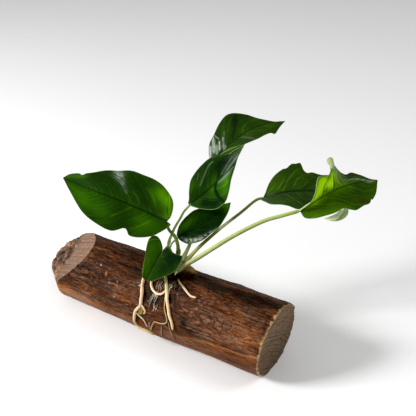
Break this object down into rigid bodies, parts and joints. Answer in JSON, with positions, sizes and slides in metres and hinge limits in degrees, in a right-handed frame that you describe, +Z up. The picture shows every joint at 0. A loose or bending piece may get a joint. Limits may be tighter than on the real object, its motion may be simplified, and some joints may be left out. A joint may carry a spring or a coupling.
{
  "type": "anubias plant on driftwood",
  "caption": "Broad-leaved aquarium plant whose creeping stem and pale roots grip a short length of driftwood log.",
  "frame": {"origin": "centre of the flat on the underside of the log, where it rests", "axes": "+X along the log towards its square-sawn end, +Y away from the side with the roots, +Z up"},
  "size_m": [0.2394, 0.1162, 0.1325],
  "materials": {
    "driftwood": "rough fibrous bark, sawn at both ends",
    "rhizome": "tan and olive plant skin",
    "leaf": "thick glossy green leaf",
    "petiole": "smooth green stalk",
    "root": "smooth cream root"
  },
  "bodies": {
    "root": {"driftwood_log": "driftwood", "rhizome": "rhizome", "leaf_a": "leaf", "leaf_b": "leaf", "leaf_c": "leaf", "leaf_d": "leaf", "leaf_e": "leaf", "leaf_f": "leaf", "leaf_g": "leaf", "petiole_a": "petiole", "petiole_b": "petiole", "petiole_c": "petiole", "petiole_d": "petiole", "petiole_e": "petiole", "petiole_f": "petiole", "petiole_g": "petiole", "root_1": "root", "root_1_lower": "root", "root_1_right": "root", "root_2": "root", "root_3": "root", "root_4": "root", "root_4_side": "root", "root_5": "root", "root_6": "root"}
  },
  "joints": []
}
